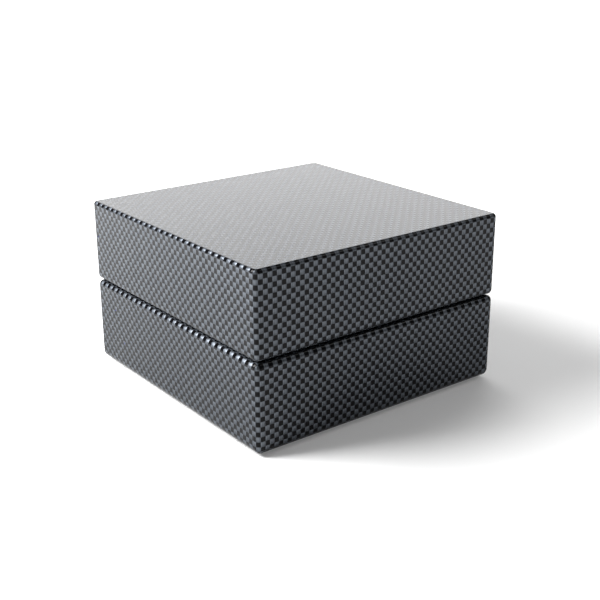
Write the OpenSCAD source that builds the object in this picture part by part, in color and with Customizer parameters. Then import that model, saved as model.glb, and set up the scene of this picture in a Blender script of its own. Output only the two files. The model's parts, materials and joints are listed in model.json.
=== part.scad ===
// Watch winder box: a square lidded case with one tilted, geared watch rotor inside.
// Millimetres, +Z up. The origin is on the ground under the middle of the case, and -Y is the front.

/* [Case] */
// Width and depth of the square case
case_size = 180; // [178:1:184]
// Height of the closed case above its feet
case_height = 106.5; // [106:0.5:110]
// Thickness of the case walls
wall = 9; // [8.5:0.25:9.5]
// Thickness of the lid's top
top_t = 8; // [6:0.5:8]
// Plan radius of the four upright corners
corner_r = 3.6; // [3.6:0.1:4.4]
// Rounding of the lid's top edges
top_r = 2.4; // [1.5:0.1:3.2]
// Rounding of the edges on both sides of the seam
seam_r = 3.6; // [2.8:0.1:3.6]
// Height of the rounding under the base
foot_r = 5; // [3.6:0.1:6]
// Height of the base as a share of the case height
base_share = 0.506; // [0.5:0.002:0.51]
// Open gap between the base's rim and the lid's rim
seam_gap = 0.7; // [0.6:0.1:1]

/* [Rotor] */
// Tilt of the rotor's axis from the vertical, towards the front
tilt = 20; // [18:1:21]
// Outer radius of the rotor cup
cup_r = 44; // [42:0.5:45]
// Depth of the rotor cup
cup_h = 26; // [24.5:0.5:27]
// Half width of the watch pillow
pillow_w = 23; // [20:1:24]

/* [Gears] */
// Gear module
gear_module = 0.8; // [0.8]
// Teeth on the rotor gear
rotor_teeth = 60; // [60]
// Teeth on the motor pinion
pinion_teeth = 18; // [18]

/* [Hinges] */
// Distance of each hinge from the middle
hinge_x = 52; // [45:1:60]
// Radius of the hinge knuckles
knuckle_r = 2; // [1.9:0.1:2.1]
// Radius of the hinge pins
pin_r = 0.9; // [0.8:0.1:1]

/* [Hidden] */
$fn = 64;
// Slip of a pin, screw or shaft in its hole
slip = 0.05;
// How far a cutter runs past the face it cuts
over = 1;

// Levels of the case
foot_h = 1.5;
foot_sink = 1;
foot_disc_r = 8;
foot_xy = 58;
half = case_size / 2;
inner = half - wall;
base_z = foot_h;
base_top = base_z + case_height * base_share;
lid_z = base_top + seam_gap;
case_top = base_z + case_height;
ceiling = case_top - top_t;
floor_t = 6;
floor_top = base_z + floor_t;
rabbet = 4;
arc_steps = 10;

// Lining, corner blocks and magnets
lining_t = 1.7;
lining_gap = 0.3;
lining_low = floor_top + 11;
lining_top = base_top + 5;
lid_lining_low = lining_top + 0.6;
lid_lining_t = 1.9;
pad_t = 6;
block_w = 14;
block_h = 10;
block_gap = 0.05;
rim_mid = inner + (wall - seam_r) / 2;
magnet_r = 2.2;
magnet_h = 3;
magnet_x = 30;
bumper_r = 2;
bumper_xy = 70;

// Frame of the tilted rotor: its origin is the middle of the cup's underside
rotor_y = 2;
rotor_z = 29;
cup_wall = 2.5;
cup_floor = 3;
cup_lining_t = 1.5;
shaft_r = 3;
shaft_end = -20.5;
gear_top = -2.5;
gear_h = 4;
gear_boss_r = 12;
gear_hub_r = 5.5;
rotor_screw_ring = 9;
clip_z = -18.6;
clip_t = 0.6;
gear_distance = gear_module * (rotor_teeth + pinion_teeth) / 2;
function world_y(s, t) = rotor_y + s * cos(tilt) - t * sin(tilt);
function world_z(s, t) = rotor_z + s * sin(tilt) + t * cos(tilt);

// Sloped deck and the boards under it
deck_top = 22;
deck_t = 3;
deck_low = deck_top - deck_t;
deck_half = 77;
deck_front = -76;
deck_rear = 86.5;
board_t = 3;
deck_hole_r = cup_r + 1.5;
rail_y = -75.5;
cheek_back = deck_half - board_t;
board_low = floor_top + block_h + 0.5;
board_in = inner - block_w - 0.7;
cheek_front = -board_in;
function under_deck(y) =
    rotor_z + (y - rotor_y + deck_low * sin(tilt)) * tan(tilt) + deck_low * cos(tilt);

// Controls along the front of the deck
strip_y = -64;
strip_w = 112;
strip_d = 18;
strip_t = 1.2;
strip_top = deck_top + strip_t;
knob_x = -40;
slider_x = -14;
led_x = 14;
button_x = 40;
knob_r = 7;
knob_h = 10;
knob_low = strip_top + 0.5;
knob_shaft_r = 3;
slider_travel = 3;
stem_w = 3;
stem_d = 2;
button_r = 5.4;
led_r = 2.5;
pcb_top = 13;
pcb_t = 1.6;

// Chassis and bearing
chassis_x = 26;
chassis_front = -16;
chassis_back = 52;
sheet_t = 2;
plate_top = -8;
plate_low = plate_top - sheet_t;
tab_w = 12;
tab_l = 12;
tab_y = [4, 42];
screw_r = 1.5;
head_r = 2.6;
head_h = 1.5;
housing_r = 9;
housing_low = -17;
bush_r = 5;
bush_flange_r = 7;
bush_flange_t = 0.8;
bush_h = 3.2;

// Geared motor
motor_r = 14;
motor_offset = 8;
motor_h = 19;
ear_x = 17.5;
ear_r = 3.5;
motor_shaft_r = 2.5;
boss_r = 6;
motor_y = gear_distance + motor_offset;

// Hinges
hinge_half = 17;
leaf_t = 1.2;
leaf_gap = 0.1;
hinge_y = half - knuckle_r;
hinge_z = base_top + seam_gap / 2;
leaf_front = inner + 0.6;
leaf_back = hinge_y - 1;
mid_knuckle = 7.75;
knuckle_gap = 0.25;
sweep_r = knuckle_r + 0.25;
hinge_screw_x = 12.5;
hinge_screw_y = leaf_front + 2.2;
hinge_screw_r = 1;
hinge_head_r = 1.9;
hinge_head_h = 0.7;
hinge_screw_l = 8;

// Power inlet
jack_x = 52;
jack_z = 26;
jack_r = 4;
jack_flange_r = 6.5;
jack_flange_t = 1.5;
jack_sink = 3.5;
jack_hole_r = 2.75;
jack_pin_r = 1.05;
jack_hole_l = 9;
jack_l = 12.5;
nut_h = 2.4;

// Leads inside the case, from the inlet to the board and from the board to the motor
lead_r = 1.2;
lead_sides = 8;
lead_steps = 5;
inlet_route = [[52, 69.6, 26], [53, 66, 24.5], [56, 58, 15], [59, 40, 10.5], [60, 10, 9.5],
    [60, -20, 9.5], [57, -38, 12], [51, -48, 17.5], [46, -53, 22.5]];
motor_route = [[-7.5, 62, 30], [-11, 62.5, 29.5], [-22, 64, 25], [-38, 58, 16], [-47, 40, 10.5],
    [-50, 10, 9.5], [-50, -20, 9.5], [-46, -38, 12], [-40, -48, 17.5], [-36, -53, 22.5]];

// ---- Shared shapes ----

module tilted() {
    translate([0, rotor_y, rotor_z]) rotate([tilt, 0, 0]) children();
}

module both_sides() {
    children();
    mirror([1, 0, 0]) children();
}

module four_corners(d) {
    for (x = [-d, d], y = [-d, d]) translate([x, y, 0]) children();
}

// Cylinder between two heights
module rod(r, z0, z1) {
    translate([0, 0, z0]) cylinder(r = r, h = z1 - z0);
}

// Box by its two opposite corners
module block(low, high) {
    translate(low) cube(high - low);
}

// Extrudes a (y, z) outline along x, between two x positions
module along_x(x0, x1) {
    translate([x0, 0, 0]) rotate([90, 0, 90]) linear_extrude(x1 - x0) children();
}

// Rounded side of an outline whose half width is h, from low to high
function rounded_side(h, z0, z1, r_low, r_high) = concat(
    [for (i = [0:arc_steps]) let (a = -90 + 90 * i / arc_steps)
        [h - corner_r + corner_r * cos(a), z0 + r_low + r_low * sin(a)]],
    [for (i = [0:arc_steps]) let (a = 90 * i / arc_steps, w = min(corner_r, r_high))
        [h - w + w * cos(a), z1 - r_high + r_high * sin(a)]]);

function mirrored_points(p) = [for (i = [len(p) - 1:-1:0]) [-p[i][0], p[i][1]]];

// Square block with rounded corners and rounded upper and lower edges
module rounded_block(z0, z1, r_low, r_high) {
    side = rounded_side(half, z0, z1, r_low, r_high);
    corner = rounded_side(corner_r, z0, z1, r_low, r_high);
    outline = concat(side, mirrored_points(side));
    straight = case_size - 2 * corner_r;
    rotate([90, 0, 90]) linear_extrude(straight, center = true) polygon(outline);
    rotate([90, 0, 0]) linear_extrude(straight, center = true) polygon(outline);
    four_corners(half - corner_r)
        rotate_extrude() polygon(concat([[0, z0]], corner, [[0, z1]]));
}

// Flat plate with round corners
module round_plate(w, d, r, z0, z1) {
    block([-w / 2, -d / 2 + r, z0], [w / 2, d / 2 - r, z1]);
    block([-w / 2 + r, -d / 2, z0], [w / 2 - r, d / 2, z1]);
    for (x = [-1, 1], y = [-1, 1])
        translate([x * (w / 2 - r), y * (d / 2 - r), 0]) rod(r, z0, z1);
}

// Four boards that line the walls, with a square corner at each end
module boards(out, t, z0, z1) {
    for (s = [-1, 1]) {
        translate([0, s * (out - t / 2), (z0 + z1) / 2]) cube([2 * out, t, z1 - z0], center = true);
        translate([s * (out - t / 2), 0, (z0 + z1) / 2])
            cube([t, 2 * (out - t) - 2 * block_gap, z1 - z0], center = true);
    }
}

// Screw along z with its head's underside at zero
module screw(r, l, r_head, h_head) {
    rod(r, -l, 0.01);
    rod(r_head, 0, h_head);
}

// ---- Base ----

module base_cut() {
    block([-inner, -inner, base_z - over], [inner, inner, base_top + over]);
    block([-inner - rabbet, -inner - rabbet, base_z - over],
        [inner + rabbet, inner + rabbet, floor_top]);
}

module hinge_sweep(r) {
    both_sides() translate([hinge_x - hinge_half - 0.2, hinge_y, hinge_z]) rotate([0, 90, 0])
        cylinder(r = r, h = 2 * hinge_half + 0.4);
}

module rim_magnets(z) {
    both_sides() translate([magnet_x, -rim_mid, z]) children();
}

module at_jack() {
    translate([jack_x, 0, jack_z]) rotate([-90, 0, 0]) children();
}

module base_shell() {
    color([0.16, 0.17, 0.19]) difference() {
        rounded_block(base_z, base_top, foot_r, seam_r);
        base_cut();
        hinge_sweep(sweep_r + 0.05);
        both_sides() block([hinge_x - hinge_half - 0.2, leaf_front - 0.1, hinge_z - leaf_gap - leaf_t],
            [hinge_x + hinge_half + 0.2, hinge_y, base_top + over]);
        at_hinge_screws() rod(hinge_screw_r + slip, -hinge_screw_l - 1, 0);
        rim_magnets(0) rod(magnet_r + slip, base_top - magnet_h - slip, base_top + over);
        at_jack() rod(jack_r + slip, inner - over, half + over);
        at_jack() rod(jack_flange_r + 0.5, half - jack_sink, half + over);
    }
}

module floor_panel() {
    edge = inner + rabbet - 0.3;
    color([0.1, 0.1, 0.11]) difference() {
        block([-edge, -edge, base_z], [edge, edge, floor_top]);
        four_corners(foot_xy) rod(foot_disc_r + slip, base_z - over, base_z + foot_sink);
        four_corners(inner - block_w / 2) rod(screw_r + slip, base_z - over, floor_top + over);
        four_corners(inner - block_w / 2) rod(head_r + 0.4, base_z - over, base_z + 2);
        at_tabs() rod(screw_r + slip, floor_top - 4.2, floor_top + over);
    }
}

module corner_blocks() {
    color([0.72, 0.58, 0.4]) four_corners(inner - block_w / 2 - block_gap) difference() {
        square_block(block_w, floor_top, floor_top + block_h);
        rod(screw_r + 0.12, floor_top - over, floor_top + 8.5);
    }
}

module square_block(w, z0, z1) {
    block([-w / 2, -w / 2, z0], [w / 2, w / 2, z1]);
}

module floor_screws() {
    color("silver") four_corners(inner - block_w / 2) translate([0, 0, base_z + 2]) mirror([0, 0, 1])
        screw(screw_r, 12, head_r, head_h);
}

module feet() {
    color([0.07, 0.07, 0.07]) four_corners(foot_xy) rod(foot_disc_r, 0, base_z + foot_sink);
}

module base_lining() {
    color([0.05, 0.05, 0.055]) difference() {
        boards(inner - lining_gap, lining_t, lining_low, lining_top);
        at_jack() rod(10, inner - 4, inner + over);
    }
}

module rim_bumpers() {
    color([0.1, 0.1, 0.1]) for (x = [-1, 1]) {
        translate([x * bumper_xy, -rim_mid, 0]) rod(bumper_r, base_top, lid_z - slip);
        translate([x * rim_mid, bumper_xy, 0]) rod(bumper_r, base_top, lid_z - slip);
    }
}

module base_magnets() {
    color("silver") rim_magnets(base_top) rod(magnet_r, -magnet_h, 0);
}

// ---- Sloped deck ----

module deck_holes(z0, z1) {
    translate([knob_x, strip_y, 0]) rod(knob_shaft_r + 0.6, z0, z1);
    translate([led_x, strip_y, 0]) rod(led_r + 0.2, z0, z1);
    translate([button_x, strip_y, 0]) rod(button_r + 0.3, z0, z1);
    slot = stem_w / 2 + slider_travel + 0.5;
    block([slider_x - slot, strip_y - stem_d / 2 - 0.3, z0],
        [slider_x + slot, strip_y + stem_d / 2 + 0.3, z1]);
}

module deck_panel() {
    color([0.08, 0.08, 0.09]) tilted() difference() {
        block([-deck_half, deck_front, deck_low], [deck_half, deck_rear, deck_top]);
        rod(deck_hole_r, deck_low - over, deck_top + over);
        deck_holes(deck_low - over, deck_top + over);
    }
}

module deck_cheeks() {
    outline = [[cheek_front, floor_top], [board_in, floor_top], [board_in, board_low],
        [cheek_back, board_low], [cheek_back, under_deck(cheek_back)],
        [cheek_front, under_deck(cheek_front)]];
    color([0.08, 0.08, 0.09]) both_sides()
        along_x(deck_half - board_t, deck_half) polygon(outline);
}

module deck_front_rail() {
    back = rail_y + board_t;
    color([0.08, 0.08, 0.09]) along_x(-board_in, board_in)
        polygon([[rail_y, floor_top], [back, floor_top], [back, under_deck(back)],
            [rail_y, under_deck(rail_y)]]);
}

module deck_rear_board() {
    color([0.08, 0.08, 0.09]) difference() {
        union() {
            along_x(-deck_half, deck_half) polygon([[cheek_back, board_low], [deck_half, board_low],
                [deck_half, under_deck(cheek_back)], [cheek_back, under_deck(cheek_back)]]);
            block([-board_in, cheek_back, floor_top], [board_in, deck_half, board_low + 0.01]);
        }
        block([jack_x - 12, cheek_back - over, floor_top - over],
            [jack_x + 12, deck_half + over, jack_z + 12]);
    }
}

module deck_bezel() {
    r = deck_hole_r;
    color("silver") tilted() rotate_extrude($fn = 128)
        polygon([[r, deck_top], [r + 5, deck_top], [r + 5, deck_top + 0.6], [r + 4, deck_top + 1.4],
            [r + 1, deck_top + 1.4], [r, deck_top + 0.8]]);
}

// ---- Chassis, bearing and motor ----

module at_tabs() {
    both_sides() for (y = tab_y) translate([chassis_x + tab_w / 2, y, 0]) children();
}

module chassis() {
    front = [world_y(chassis_front, plate_top), world_z(chassis_front, plate_top)];
    back = [world_y(chassis_back, plate_top), world_z(chassis_back, plate_top)];
    color([0.62, 0.63, 0.65]) {
        tilted() difference() {
            block([-chassis_x, chassis_front, plate_low], [chassis_x, chassis_back, plate_top]);
            rod(bush_r + slip, plate_low - over, plate_top + over);
            translate([0, gear_distance, 0]) rod(boss_r + 0.2, plate_low - over, plate_top + over);
            for (x = [-ear_x, ear_x]) translate([x, motor_y, 0])
                rod(screw_r + slip, plate_low - over, plate_top + over);
        }
        both_sides() along_x(chassis_x - sheet_t, chassis_x)
            polygon([[front[0], floor_top], [back[0], floor_top], back, front]);
        difference() {
            both_sides() for (y = tab_y)
                block([chassis_x - 0.5, y - tab_l / 2, floor_top],
                    [chassis_x + tab_w, y + tab_l / 2, floor_top + sheet_t]);
            at_tabs() rod(screw_r + slip, floor_top - over, floor_top + sheet_t + over);
        }
    }
}

module chassis_screws() {
    color("silver") at_tabs() translate([0, 0, floor_top + sheet_t])
        screw(screw_r, sheet_t + 4, head_r, head_h);
}

module bearing_housing() {
    color([0.5, 0.51, 0.53]) tilted() difference() {
        union() {
            rod(housing_r + 3, plate_low - 2, plate_low);
            rod(housing_r, housing_low, plate_low - 1);
        }
        rod(bush_r + slip, housing_low - over, plate_low + over);
    }
}

module bearing_bushes() {
    color([0.72, 0.55, 0.25]) tilted() for (end = [[plate_top, 1], [housing_low, -1]])
        translate([0, 0, end[0]]) mirror([0, 0, end[1] < 0 ? 1 : 0]) difference() {
            union() {
                rod(bush_r, -bush_h, 0);
                rod(bush_flange_r, 0, bush_flange_t);
            }
            rod(shaft_r + slip, -bush_h - over, bush_flange_t + over);
        }
}

module motor_can() {
    color("silver") tilted() difference() {
        translate([0, motor_y, 0]) rod(motor_r, plate_low - motor_h, plate_low - 1);
        translate([0, gear_distance, 0]) rod(motor_shaft_r + slip, plate_low - 5, plate_low);
    }
}

module motor_plate() {
    color([0.75, 0.76, 0.78]) tilted() difference() {
        union() {
            translate([0, motor_y, 0]) rod(motor_r, plate_low - 1, plate_low);
            block([-ear_x, motor_y - ear_r, plate_low - 1], [ear_x, motor_y + ear_r, plate_low]);
            for (x = [-ear_x, ear_x]) translate([x, motor_y, 0]) rod(ear_r, plate_low - 1, plate_low);
            translate([0, gear_distance, 0]) rod(boss_r, plate_low - 1, plate_low + 1.5);
        }
        translate([0, gear_distance, 0]) rod(motor_shaft_r + slip, plate_low - 2, plate_low + 2);
        for (x = [-ear_x, ear_x]) translate([x, motor_y, 0])
            rod(screw_r + slip, plate_low - 2, plate_low + over);
    }
}

module motor_terminal() {
    back = motor_y + motor_r;
    color([0.85, 0.84, 0.78]) tilted() difference() {
        block([-6, back - 2, plate_low - 13], [6, back + 3.5, plate_low - 5]);
        translate([0, motor_y, 0]) rod(motor_r + slip, plate_low - motor_h, plate_low);
    }
}

module motor_screws() {
    color("silver") tilted() for (x = [-ear_x, ear_x]) translate([x, motor_y, plate_top])
        screw(screw_r, 5, head_r, head_h);
}

// Half angle of an involute tooth at radius r
function tooth_inv(a) = tan(a) * 180 / PI - a;
function half_tooth(r, teeth, slack) =
    let (pitch = gear_module * teeth / 2, base = pitch * cos(20))
    90 / teeth - slack * 90 / (PI * pitch) + tooth_inv(20) - tooth_inv(acos(min(1, base / r)));

// Spur gear outline with a little backlash
module gear_outline(teeth, slack) {
    pitch = gear_module * teeth / 2;
    base = pitch * cos(20);
    root = pitch - 1.25 * gear_module;
    tip = pitch + 0.95 * gear_module;
    start = max(base, root);
    steps = 4;
    radii = concat(root < base ? [root] : [], [for (k = [0:steps]) start + (tip - start) * k / steps]);
    n = len(radii);
    flank = [for (r = radii) [r, half_tooth(max(r, start), teeth, slack)]];
    tooth = concat([for (f = flank) [f[0], -f[1]]], [for (k = [n - 1:-1:0]) flank[k]]);
    polygon([for (i = [0:teeth - 1], p = tooth)
        let (a = 360 * i / teeth + p[1]) [p[0] * cos(a), p[0] * sin(a)]]);
}

module rotor_gear() {
    color([0.93, 0.92, 0.88]) tilted() difference() {
        union() {
            translate([0, 0, gear_top - gear_h]) linear_extrude(gear_h) gear_outline(rotor_teeth, 0.16);
            rod(gear_boss_r, gear_top - 0.5, 0);
            rod(gear_hub_r, plate_top + bush_flange_t + 0.1, gear_top - 1);
        }
        rod(shaft_r + 0.02, plate_low, over);
        at_rotor_screws() rod(screw_r + slip, gear_top - gear_h - over, over);
        at_rotor_screws() rod(head_r + 0.2, gear_top - gear_h - over, gear_top - gear_h + 1.8);
    }
}

module at_rotor_screws() {
    for (i = [0:2]) rotate([0, 0, 120 * i + 30]) translate([rotor_screw_ring, 0, 0]) children();
}

module drive_pinion() {
    color([0.93, 0.92, 0.88]) tilted() translate([0, gear_distance, 0]) difference() {
        translate([0, 0, gear_top - gear_h - 0.5]) linear_extrude(gear_h + 1)
            gear_outline(pinion_teeth, 0.16);
        rod(motor_shaft_r + 0.02, plate_low, 0);
    }
}

module motor_shaft() {
    color("silver") tilted() translate([0, gear_distance, 0])
        rod(motor_shaft_r, plate_low - 4.8, gear_top + 0.6);
}

// ---- Controls ----

module control_board() {
    color([0.05, 0.3, 0.16]) tilted() difference() {
        block([-54, strip_y - 8.5, pcb_top - pcb_t], [54, strip_y + 8.5, pcb_top]);
        at_standoffs() rod(1.2, pcb_top - pcb_t - over, pcb_top + over);
    }
}

module at_standoffs() {
    for (x = [-51, 51], y = [-6, 6]) translate([x, strip_y + y, 0]) children();
}

module board_standoffs() {
    color([0.8, 0.68, 0.35]) tilted() at_standoffs() {
        rod(2.2, pcb_top, deck_low);
        rod(1.1, pcb_top - pcb_t - 1, pcb_top + 0.1);
    }
}

module board_parts() {
    color([0.09, 0.09, 0.1]) tilted() {
        block([24, strip_y - 4, pcb_top], [34, strip_y + 4, pcb_top + 1.5]);
        block([-33, strip_y + 1, pcb_top], [-25, strip_y + 7, pcb_top + 5]);
        translate([3, strip_y + 4, 0]) rod(2.6, pcb_top, pcb_top + 5.2);
        translate([3, strip_y - 4, 0]) rod(2.6, pcb_top, pcb_top + 5.2);
        block([21, strip_y + 5.5, pcb_top], [25, strip_y + 7.5, pcb_top + 1]);
    }
}

module rotary_switch() {
    color([0.2, 0.2, 0.22]) tilted() translate([knob_x, strip_y, 0]) difference() {
        block([-7, -7, pcb_top], [7, 7, deck_low - 0.1]);
        rod(knob_shaft_r + slip, pcb_top + 2, deck_low);
    }
}

module slide_switch() {
    color("silver") tilted()
        block([slider_x - 9, strip_y - 4, pcb_top], [slider_x + 9, strip_y + 4, deck_low - 1]);
}

module button_switch() {
    color([0.15, 0.15, 0.16]) tilted()
        block([button_x - 6, strip_y - 6, pcb_top], [button_x + 6, strip_y + 6, pcb_top + 3.5]);
}

module status_led() {
    color([0.75, 0.85, 1]) tilted() translate([led_x, strip_y, 0]) {
        rod(led_r, pcb_top, strip_top);
        translate([0, 0, strip_top]) rotate_extrude()
            intersection() {
                circle(r = led_r);
                square(led_r);
            }
    }
}

module control_plate() {
    color([0.55, 0.56, 0.58]) tilted() difference() {
        translate([0, strip_y, 0]) round_plate(strip_w, strip_d, 3, deck_top, strip_top);
        deck_holes(deck_top - over, strip_top + over);
    }
}

module knob_shaft() {
    color("silver") tilted() translate([knob_x, strip_y, 0]) rod(knob_shaft_r, pcb_top + 2.1, knob_low + 7);
}

module mode_knob() {
    top = knob_low + knob_h;
    color([0.72, 0.73, 0.75]) tilted() translate([knob_x, strip_y, 0]) difference() {
        rotate_extrude() polygon([[0, knob_low], [knob_r, knob_low], [knob_r, top - 0.8],
            [knob_r - 0.8, top], [0, top]]);
        rod(knob_shaft_r + 0.02, knob_low - over, knob_low + 7.1);
        block([-0.6, 1, top - 0.6], [0.6, knob_r + over, top + over]);
    }
}

module knob_pointer() {
    top = knob_low + knob_h;
    color("white") tilted() translate([knob_x, strip_y, 0]) block([-0.55, 1.05, top - 0.6], [0.55, 6, top]);
}

module direction_slider() {
    color([0.12, 0.12, 0.13]) tilted() translate([slider_x, strip_y, 0]) {
        block([-stem_w / 2, -stem_d / 2, deck_low - 0.8], [stem_w / 2, stem_d / 2, strip_top + 0.5]);
        block([-4, -2, strip_top + 0.25], [4, 2, strip_top + 2.6]);
    }
}

module power_button() {
    color([0.75, 0.76, 0.78]) tilted() translate([button_x, strip_y, 0]) {
        rotate_extrude() polygon([[0, deck_low + 1.2], [button_r, deck_low + 1.2],
            [button_r, strip_top + 1.8], [button_r - 0.6, strip_top + 2.4], [0, strip_top + 2.4]]);
        rod(2, deck_low - 0.8, deck_low + 1.3);
    }
}

// ---- Power inlet ----

module dc_jack() {
    face = half - jack_sink;
    color([0.08, 0.08, 0.08]) {
        at_jack() difference() {
            union() {
                rod(jack_flange_r, face, face + jack_flange_t);
                rod(jack_r, face - jack_l, face + 0.1);
            }
            difference() {
                rod(jack_hole_r, face + jack_flange_t - jack_hole_l, face + jack_flange_t + over);
                rod(jack_pin_r, face - jack_l, face + jack_flange_t - 1);
            }
        }
        for (x = [-2, 2]) block([jack_x + x - 0.8, face - jack_l - 3.5, jack_z - 0.3],
            [jack_x + x + 0.8, face - jack_l + 0.5, jack_z + 0.3]);
    }
}

module jack_nut() {
    color("silver") at_jack() difference() {
        translate([0, 0, inner - nut_h]) cylinder(r = 6.6, h = nut_h, $fn = 6);
        rod(jack_r + slip, inner - nut_h - over, inner + over);
    }
}

// ---- Leads ----

// Point on the smooth curve through p, u of the way from point i to point i + 1
function curve_point(p, i, u) =
    let (n = len(p) - 1, a = p[max(i - 1, 0)], b = p[i], c = p[min(i + 1, n)], d = p[min(i + 2, n)])
    0.5 * (2 * b + (c - a) * u + (2 * a - 5 * b + 4 * c - d) * u * u
        + (3 * b - a - 3 * c + d) * u * u * u);

function smooth_route(p) = concat(
    [for (i = [0:len(p) - 2], k = [0:lead_steps - 1]) curve_point(p, i, k / lead_steps)],
    [p[len(p) - 1]]);

function unit(v) = v / norm(v);

// Round lead swept along a smooth route
module lead(points) {
    c = smooth_route(points);
    n = len(c) - 1;
    m = lead_sides;
    rings = [for (i = [0:n])
        let (t = unit(c[min(i + 1, n)] - c[max(i - 1, 0)]))
        let (side = unit(cross([0, 0, 1], t)), up = cross(t, side))
        for (k = [0:m - 1]) c[i] + lead_r * (cos(360 * k / m) * side + sin(360 * k / m) * up)];
    walls = [for (i = [0:n - 1], k = [0:m - 1])
        [i * m + k, (i + 1) * m + k, (i + 1) * m + (k + 1) % m, i * m + (k + 1) % m]];
    ends = [[for (k = [0:m - 1]) k], [for (k = [m - 1:-1:0]) n * m + k]];
    polyhedron(rings, concat(walls, ends));
}

module internal_leads() {
    color([0.1, 0.1, 0.1]) {
        lead(inlet_route);
        lead(motor_route);
    }
}

// ---- Hinges ----

module at_hinge_screws() {
    both_sides() for (x = [-hinge_screw_x, hinge_screw_x])
        translate([hinge_x + x, hinge_screw_y, hinge_z]) children();
}

module knuckle(x0, x1) {
    translate([x0, hinge_y, hinge_z]) rotate([0, 90, 0]) cylinder(r = knuckle_r, h = x1 - x0);
}

module knuckle_room(x0, x1) {
    translate([x0, hinge_y, hinge_z]) rotate([0, 90, 0]) cylinder(r = sweep_r, h = x1 - x0);
}

// Leaf lying on the base's rim, with its two outer knuckles
module base_leaf() {
    top = hinge_z - leaf_gap;
    difference() {
        union() {
            difference() {
                block([-hinge_half, leaf_front, top - leaf_t], [hinge_half, leaf_back, top]);
                knuckle_room(-mid_knuckle - knuckle_gap, mid_knuckle + knuckle_gap);
            }
            knuckle(-hinge_half, -mid_knuckle - knuckle_gap);
            knuckle(mid_knuckle + knuckle_gap, hinge_half);
        }
        pin_hole();
        for (x = [-hinge_screw_x, hinge_screw_x]) translate([x, hinge_screw_y, top]) {
            rod(hinge_screw_r + 0.1, -leaf_t - over, over);
            rod(hinge_head_r + 0.1, -hinge_head_h, over);
        }
    }
}

// Leaf under the lid's rim, with its middle knuckle
module lid_leaf() {
    low = hinge_z + leaf_gap;
    difference() {
        union() {
            difference() {
                block([-hinge_half, leaf_front, low], [hinge_half, leaf_back, low + leaf_t]);
                knuckle_room(-hinge_half - over, -mid_knuckle);
                knuckle_room(mid_knuckle, hinge_half + over);
            }
            knuckle(-mid_knuckle, mid_knuckle);
        }
        pin_hole();
        for (x = [-hinge_screw_x, hinge_screw_x]) translate([x, hinge_screw_y, low]) {
            rod(hinge_screw_r + 0.1, -over, leaf_t + over);
            rod(hinge_head_r + 0.1, -over, hinge_head_h);
        }
    }
}

module pin_hole() {
    translate([-hinge_half - over, hinge_y, hinge_z]) rotate([0, 90, 0])
        cylinder(r = pin_r + slip, h = 2 * hinge_half + 2 * over);
}

module hinge_pin() {
    translate([-hinge_half, hinge_y, hinge_z]) rotate([0, 90, 0]) cylinder(r = pin_r, h = 2 * hinge_half);
}

module base_hinge_left() { color("silver") translate([-hinge_x, 0, 0]) base_leaf(); }
module base_hinge_right() { color("silver") translate([hinge_x, 0, 0]) base_leaf(); }
module lid_hinge_left() { color("silver") translate([-hinge_x, 0, 0]) lid_leaf(); }
module lid_hinge_right() { color("silver") translate([hinge_x, 0, 0]) lid_leaf(); }
module hinge_pin_left() { color("silver") translate([-hinge_x, 0, 0]) hinge_pin(); }
module hinge_pin_right() { color("silver") translate([hinge_x, 0, 0]) hinge_pin(); }

module base_hinge_screws() {
    color("silver") at_hinge_screws() translate([0, 0, -leaf_gap - hinge_head_h])
        screw(hinge_screw_r, hinge_screw_l, hinge_head_r, hinge_head_h);
}

module lid_hinge_screws() {
    color("silver") at_hinge_screws() translate([0, 0, leaf_gap + hinge_head_h]) mirror([0, 0, 1])
        screw(hinge_screw_r, hinge_screw_l, hinge_head_r, hinge_head_h);
}

// ---- Lid ----

module lid_shell() {
    color([0.16, 0.17, 0.19]) difference() {
        rounded_block(lid_z, case_top, seam_r, top_r);
        block([-inner, -inner, lid_z - over], [inner, inner, ceiling]);
        hinge_sweep(sweep_r + 0.05);
        both_sides() block([hinge_x - hinge_half - 0.2, leaf_front - 0.1, lid_z - over],
            [hinge_x + hinge_half + 0.2, hinge_y, hinge_z + leaf_gap + leaf_t]);
        at_hinge_screws() rod(hinge_screw_r + slip, 0, hinge_screw_l + 1);
        rim_magnets(0) rod(magnet_r + slip, lid_z - over, lid_z + magnet_h + slip);
    }
}

module lid_lining() {
    color([0.05, 0.05, 0.055]) boards(inner - block_gap, lid_lining_t, lid_lining_low, ceiling - 0.05);
}

module lid_pad() {
    edge = inner - lid_lining_t - 0.3;
    color([0.05, 0.05, 0.055]) block([-edge, -edge, ceiling - pad_t], [edge, edge, ceiling - 0.05]);
}

module lid_magnets() {
    color("silver") rim_magnets(lid_z) rod(magnet_r, 0, magnet_h);
}

// ---- Rotor ----

module rotor_cup() {
    color([0.06, 0.06, 0.065]) tilted() difference() {
        rotate_extrude($fn = 128) polygon([[0, 0], [cup_r - 2, 0], [cup_r, 2], [cup_r, cup_h],
            [cup_r - cup_wall, cup_h], [cup_r - cup_wall, cup_floor], [0, cup_floor]]);
        rod(shaft_r + 0.02, -over, cup_floor - 1);
        at_rotor_screws() rod(screw_r + slip, -over, cup_floor - 0.4);
    }
}

module cup_rim() {
    low = cup_h;
    in_r = cup_r - cup_wall - cup_lining_t;
    color("silver") tilted() rotate_extrude($fn = 128)
        polygon([[in_r, low], [cup_r + 0.5, low], [cup_r + 0.5, low + 0.8], [cup_r - 0.4, low + 1.8],
            [in_r + 0.9, low + 1.8], [in_r, low + 0.9]]);
}

module cup_lining() {
    out_r = cup_r - cup_wall - 0.05;
    in_r = cup_r - cup_wall - cup_lining_t;
    color([0.05, 0.05, 0.055]) tilted() rotate_extrude($fn = 128)
        polygon([[0, cup_floor], [out_r, cup_floor], [out_r, cup_h], [in_r, cup_h],
            [in_r, cup_floor + cup_lining_t], [0, cup_floor + cup_lining_t]]);
}

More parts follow.
